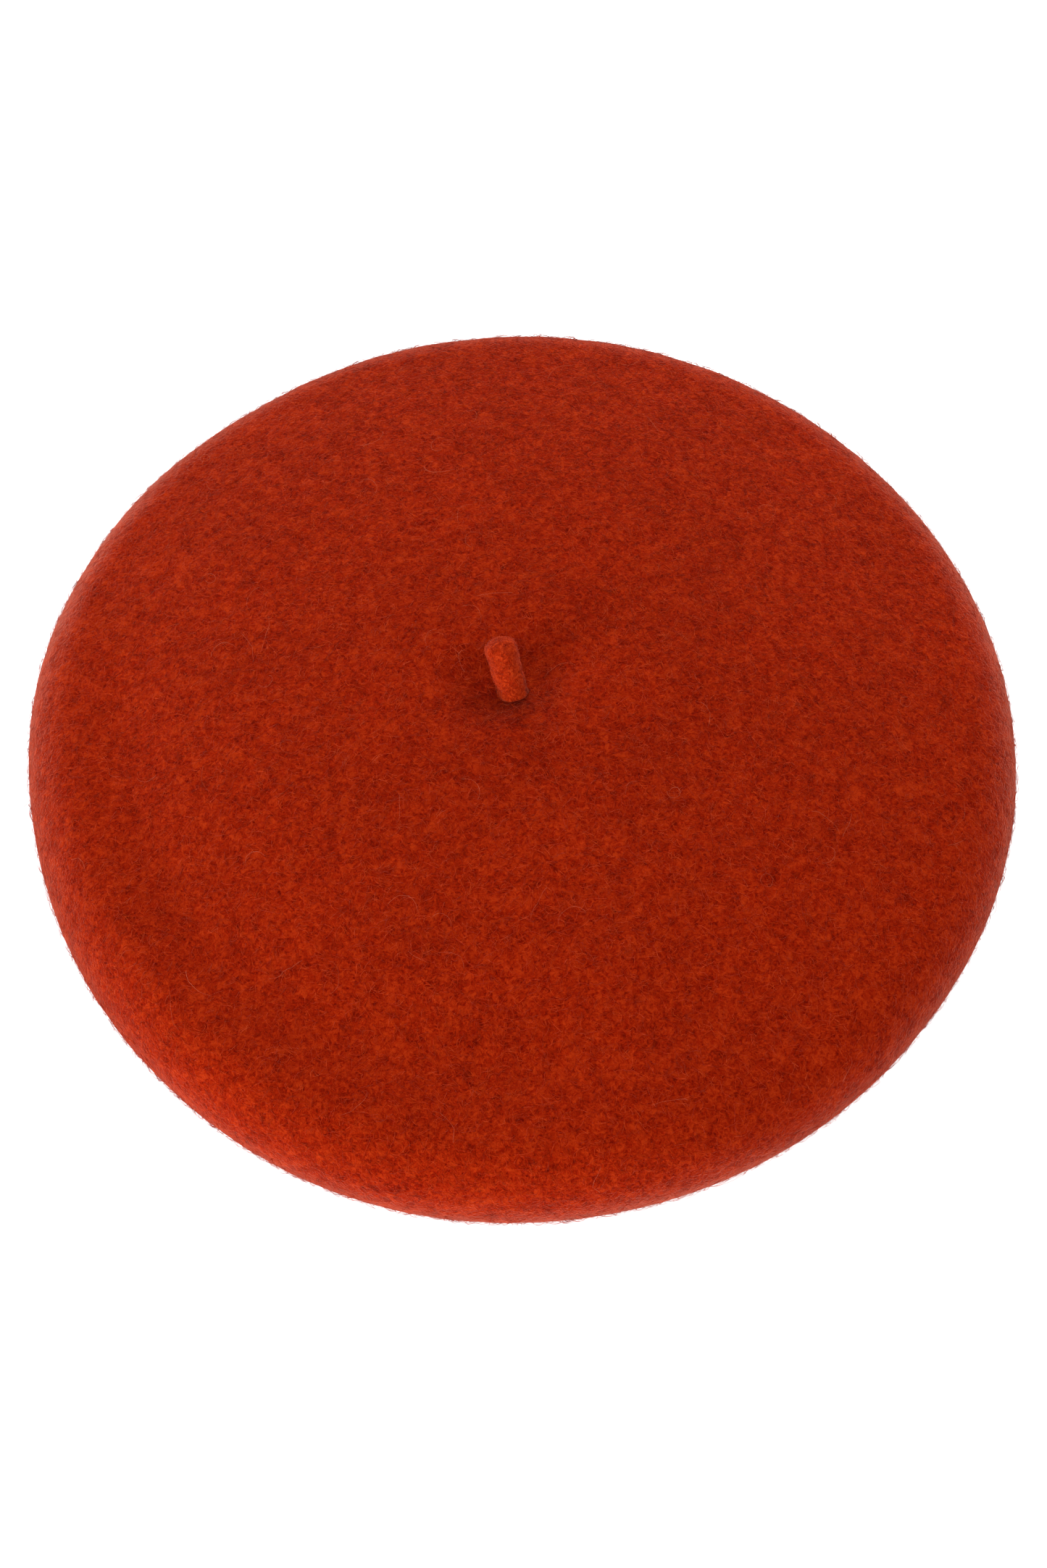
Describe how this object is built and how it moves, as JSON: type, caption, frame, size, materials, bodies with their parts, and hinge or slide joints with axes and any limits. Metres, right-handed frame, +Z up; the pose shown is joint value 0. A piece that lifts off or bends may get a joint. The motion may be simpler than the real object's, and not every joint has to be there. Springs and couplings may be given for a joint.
{
  "type": "beret",
  "caption": "Round felt beret lying crown up: domed crown with a short leaning stalk, rolled rim, turned-in hem and a ribbon sweatband inside the head opening.",
  "frame": {"origin": "centre of the head opening, on the plane that the beret lies on", "axes": "+Z up through the crown, -Y the front, +Y the back where the sweatband's ends meet, +X the wearer's left when worn facing -Y"},
  "size_m": [0.28, 0.28, 0.0614],
  "materials": {
    "felt": "matte",
    "felt_yarn": "matte",
    "grosgrain": "satin",
    "elastic": "matte",
    "thread": "satin",
    "satin_tape": "satin",
    "woven_tape": "matte"
  },
  "bodies": {
    "beret": {"felt_body": "felt", "hem_elastic": "elastic", "hem_stitches": "thread", "sweatband": "grosgrain", "sweatband_stitches": "thread", "band_join_patch": "grosgrain", "band_join_stitches": "thread", "stalk_tail": "felt_yarn", "stalk_tack_stitches": "felt_yarn", "label_stitches": "thread"},
    "stalk": {"stalk": "felt"},
    "care_label": {"care_label": "satin_tape"},
    "size_label": {"size_label": "woven_tape"}
  },
  "joints": [
    {"name": "stalk_bend", "type": "hinge", "parent": "beret", "child": "stalk", "pos_m": [0, 0, 0.0509], "axis": [-0.9272, -0.3746, 0], "range_deg": [-75, 30], "stiffness_Nm_per_rad": 0.002},
    {"name": "care_label_flip", "type": "hinge", "parent": "beret", "child": "care_label", "pos_m": [-0.05, 0.0866, 0.0062], "axis": [0.866, 0.5, 0], "range_deg": [0, 105]},
    {"name": "size_label_flip", "type": "hinge", "parent": "beret", "child": "size_label", "pos_m": [0, 0.1, 0.0062], "axis": [1, 0, 0], "range_deg": [0, 105]}
  ]
}
